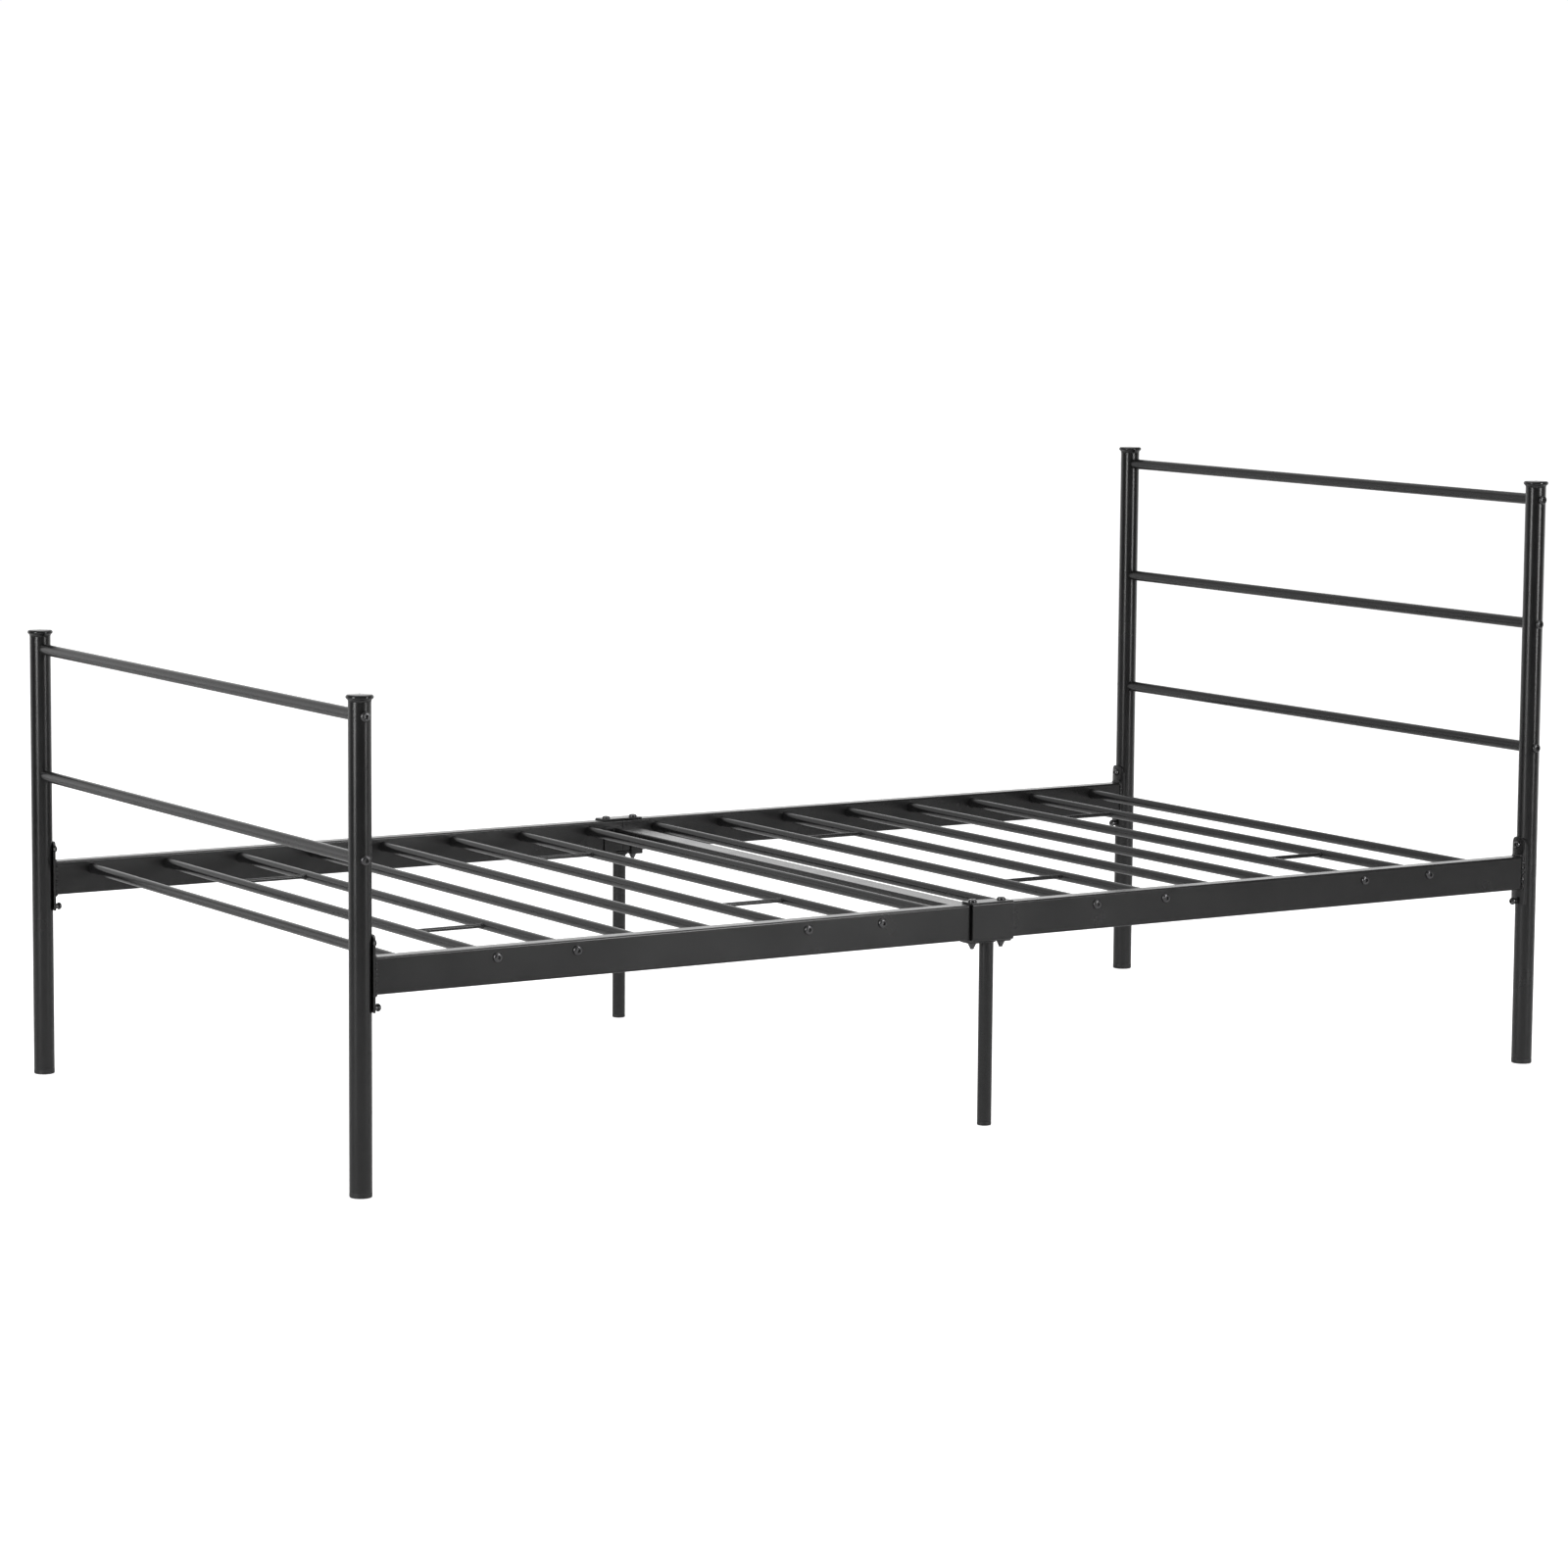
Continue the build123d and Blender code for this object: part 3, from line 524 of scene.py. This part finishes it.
cameraSetup = {
    "place": (-3.792, -5.954, 1.301), "yaw": -31.18, "pitch": 6.656, "roll": 0.304,
    "lens": 111.64, "sensor": 36.0, "shiftX": 0.0648, "shiftY": -0.0250, "reach": 200.0,
}
camera = bpy.data.objects.new("camera", bpy.data.cameras.new("camera"))
bpy.context.scene.collection.objects.link(camera)
camera.data.lens = cameraSetup["lens"]
camera.data.sensor_width = cameraSetup["sensor"]
camera.data.shift_x = cameraSetup["shiftX"]
camera.data.shift_y = cameraSetup["shiftY"]
camera.data.clip_end = cameraSetup["reach"]
camera.matrix_world = (
    Matrix.Translation(cameraSetup["place"])
    @ Matrix.Rotation(math.radians(cameraSetup["yaw"]), 4, "Z")
    @ Matrix.Rotation(math.radians(90 - cameraSetup["pitch"]), 4, "X")
    @ Matrix.Rotation(math.radians(cameraSetup["roll"]), 4, "Z")
)
bpy.context.scene.camera = camera
bpy.context.scene.view_settings.view_transform = "Standard"

# floor and studio light

studio = {
    "floorReach": 40.0, "floorColor": (0.90, 0.90, 0.90), "floorLift": 0.75,
    "floorRoughness": 0.8, "floorSpecular": 0.1, "floorDepth": 0.0004,
    "paperLow": (-2.7, -2.6), "paperHigh": (3.4, 9.0), "paperGlow": 0.29, "paperDepth": 0.0008,
    "toCamera": (-0.5177, -0.8555, 0.0), "frontGlow": 0.055, "backGlow": 1.45, "topGlow": 0.30,
    "frontDot": 0.25, "backDot": -0.97, "bandLow": 0.05, "bandTop": 0.62, "overBand": 0.3,
    "ceilingLow": 0.35, "ceilingTop": 0.95, "cameraGlow": 1.02,
}


def paintFloor(name, color, shine, ray):
    paint = bpy.data.materials.new(name)
    paint.use_nodes = True
    tree = paint.node_tree
    shader = tree.nodes["Principled BSDF"]
    shader.inputs["Base Color"].default_value = (*color, 1)
    shader.inputs["Roughness"].default_value = studio["floorRoughness"]
    shader.inputs["Specular IOR Level"].default_value = studio["floorSpecular"]
    shader.inputs["Emission Color"].default_value = (1, 1, 1, 1)
    path = tree.nodes.new("ShaderNodeLightPath")
    lift = addNode(tree, "ShaderNodeMath")
    lift.operation = "MULTIPLY"
    lift.inputs[1].default_value = shine
    tree.links.new(path.outputs[ray], lift.inputs[0])
    tree.links.new(lift.outputs["Value"], shader.inputs["Emission Strength"])
    return paint


def layPlane(name, low, high, height, paint):
    deselectAll()
    middle = ((low[0] + high[0]) / 2, (low[1] + high[1]) / 2, height)
    bpy.ops.mesh.primitive_plane_add(size=1, location=middle)
    plane = bpy.context.active_object
    plane.name = name
    plane.scale = (high[0] - low[0], high[1] - low[1], 1)
    plane.data.materials.append(paint)
    return plane


floor = layPlane(
    "floor", (-studio["floorReach"],) * 2, (studio["floorReach"],) * 2, -studio["floorDepth"],
    paintFloor("floorPaint", studio["floorColor"], studio["floorLift"], "Is Camera Ray"),
)
floor.visible_glossy = False

# the paper sweep under the bed, which only the gloss sees
paper = layPlane(
    "paperSweep", studio["paperLow"], studio["paperHigh"], -studio["paperDepth"],
    paintFloor("paperPaint", studio["floorColor"], studio["paperGlow"], "Is Glossy Ray"),
)
paper.visible_camera = False
paper.visible_diffuse = False
paper.visible_shadow = False

world = bpy.data.worlds.new("studio")
bpy.context.scene.world = world
world.use_nodes = True
worldTree = world.node_tree
background = worldTree.nodes["Background"]
background.inputs["Color"].default_value = (1, 1, 1, 1)
around = worldTree.nodes.new("ShaderNodeTexCoord")
facing = worldTree.nodes.new("ShaderNodeVectorMath")
facing.operation = "DOT_PRODUCT"
facing.inputs[1].default_value = studio["toCamera"]
upward = worldTree.nodes.new("ShaderNodeSeparateXYZ")


def smoothRange(fromLow, fromHigh, toLow, toHigh):
    step = worldTree.nodes.new("ShaderNodeMapRange")
    step.interpolation_type = "SMOOTHSTEP"
    step.inputs["From Min"].default_value = fromLow
    step.inputs["From Max"].default_value = fromHigh
    step.inputs["To Min"].default_value = toLow
    step.inputs["To Max"].default_value = toHigh
    return step


frontToBack = smoothRange(studio["frontDot"], studio["backDot"], studio["frontGlow"], studio["backGlow"])
ceiling = smoothRange(studio["ceilingLow"], studio["ceilingTop"], 0.0, studio["topGlow"])
band = smoothRange(studio["bandLow"], studio["bandTop"], 1.0, studio["overBand"])
low = worldTree.nodes.new("ShaderNodeMath")
low.operation = "MULTIPLY"
total = worldTree.nodes.new("ShaderNodeMath")
seen = worldTree.nodes.new("ShaderNodeLightPath")
choose = worldTree.nodes.new("ShaderNodeMix")
choose.inputs["B"].default_value = studio["cameraGlow"]
worldLink = worldTree.links.new
worldLink(around.outputs["Generated"], facing.inputs[0])
worldLink(facing.outputs["Value"], frontToBack.inputs["Value"])
worldLink(around.outputs["Generated"], upward.inputs["Vector"])
worldLink(upward.outputs["Z"], ceiling.inputs["Value"])
worldLink(upward.outputs["Z"], band.inputs["Value"])
worldLink(frontToBack.outputs["Result"], low.inputs[0])
worldLink(band.outputs["Result"], low.inputs[1])
worldLink(low.outputs["Value"], total.inputs[0])
worldLink(ceiling.outputs["Result"], total.inputs[1])
worldLink(seen.outputs["Is Camera Ray"], choose.inputs["Factor"])
worldLink(total.outputs["Value"], choose.inputs["A"])
worldLink(choose.outputs["Result"], background.inputs["Strength"])

softboxes = {
    "leftStrip": {
        "place": (-4.7, -1.25, 1.5), "aim": (-0.6, 0, 0.9), "width": 1.1, "height": 2.7, "power": 112,
    },
    "rightStrip": {
        "place": (1.9, -4.3, 1.5), "aim": (0.5, 0, 0.7), "width": 1.0, "height": 2.7, "power": 88,
    },
    "overhead": {
        "place": (0.4, 0.8, 4.2), "aim": (0, 0, 0), "width": 4.0, "height": 3.0, "power": 62,
    },
}
for name, box in softboxes.items():
    light = bpy.data.lights.new(name, "AREA")
    light.shape = "RECTANGLE"
    light.size = box["width"]
    light.size_y = box["height"]
    light.energy = box["power"]
    lamp = bpy.data.objects.new(name, light)
    bpy.context.scene.collection.objects.link(lamp)
    lamp.location = box["place"]
    aim = Vector(box["aim"]) - Vector(box["place"])
    lamp.rotation_euler = aim.to_track_quat("-Z", "Y").to_euler()
print("studio ready")
